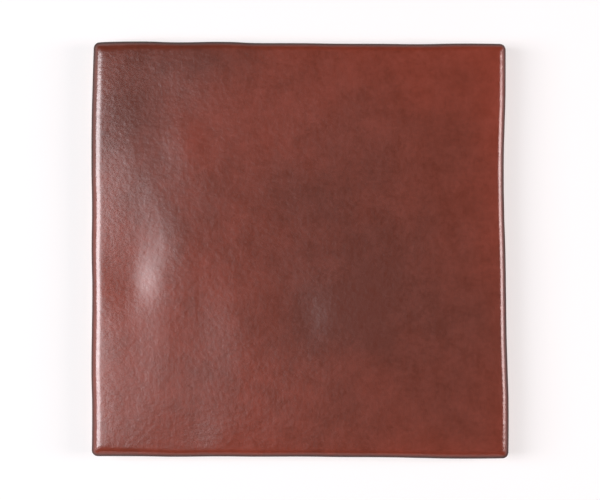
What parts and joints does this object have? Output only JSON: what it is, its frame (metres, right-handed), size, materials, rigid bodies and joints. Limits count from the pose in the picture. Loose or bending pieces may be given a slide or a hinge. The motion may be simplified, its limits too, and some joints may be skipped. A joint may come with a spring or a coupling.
{
  "type": "wall tile",
  "caption": "Square glazed ceramic wall tile with an undulating satin face, soft rounded wavy edges and a keyed back.",
  "frame": {"origin": "under the middle of the tile, in the plane of the ribs and margin of its back", "axes": "+Z out of the glazed face, +Y up the tile as the picture shows it, +X to its right"},
  "size_m": [0.1, 0.0999, 0.0087],
  "materials": {
    "glazed_earthenware": "satin red-brown glaze over a fired clay body that is bare on the back and lower sides"
  },
  "bodies": {
    "root": {"tile": "glazed_earthenware"}
  },
  "joints": []
}
